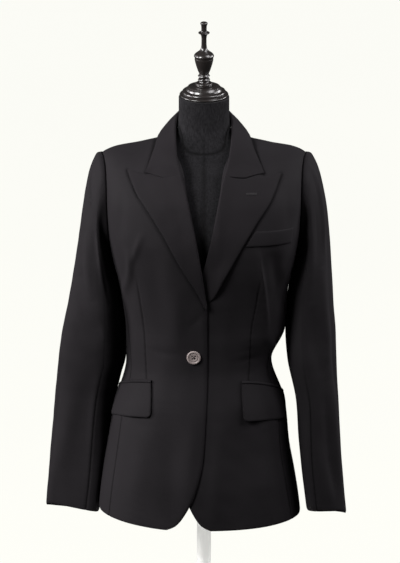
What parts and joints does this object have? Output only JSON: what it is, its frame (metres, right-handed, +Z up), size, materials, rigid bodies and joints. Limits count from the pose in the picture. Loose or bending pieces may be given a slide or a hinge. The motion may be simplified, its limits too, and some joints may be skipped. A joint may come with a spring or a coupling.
{
  "type": "single breasted blazer on dress form",
  "caption": "Fitted one-button peak-lapel blazer with flap pockets and rounded fronts, worn by a limbless dress form on a short pole and round base.",
  "frame": {"origin": "centre of the stand base's underside", "axes": "+Z up, -Y the blazer's front, -X the wearer's right"},
  "size_m": [0.5398, 0.31, 1.1707],
  "materials": {
    "suiting": "black plain-weave suiting, matt with a soft sheen",
    "button_resin": "pale pinkish-grey resin, polished rim",
    "form_jersey": "charcoal heathered jersey cover",
    "ebonised_wood": "turned wood, black, glossy",
    "white_enamel": "satin white enamel"
  },
  "bodies": {
    "root": {"front_right": "suiting", "side_right": "suiting", "back_right": "suiting", "lapel_right": "suiting", "sleeve_top_right": "suiting", "sleeve_under_right": "suiting", "flap_right": "suiting", "jet_right": "suiting", "front_left": "suiting", "side_left": "suiting", "back_left": "suiting", "lapel_left": "suiting", "sleeve_top_left": "suiting", "sleeve_under_left": "suiting", "flap_left": "suiting", "jet_left": "suiting", "breast_welt": "suiting", "collar_fall": "suiting", "collar_stand": "suiting", "button": "button_resin", "form_torso": "form_jersey", "form_board": "white_enamel", "neck_cap": "ebonised_wood", "finial": "ebonised_wood", "pole": "white_enamel", "stand_base": "white_enamel"}
  },
  "joints": []
}
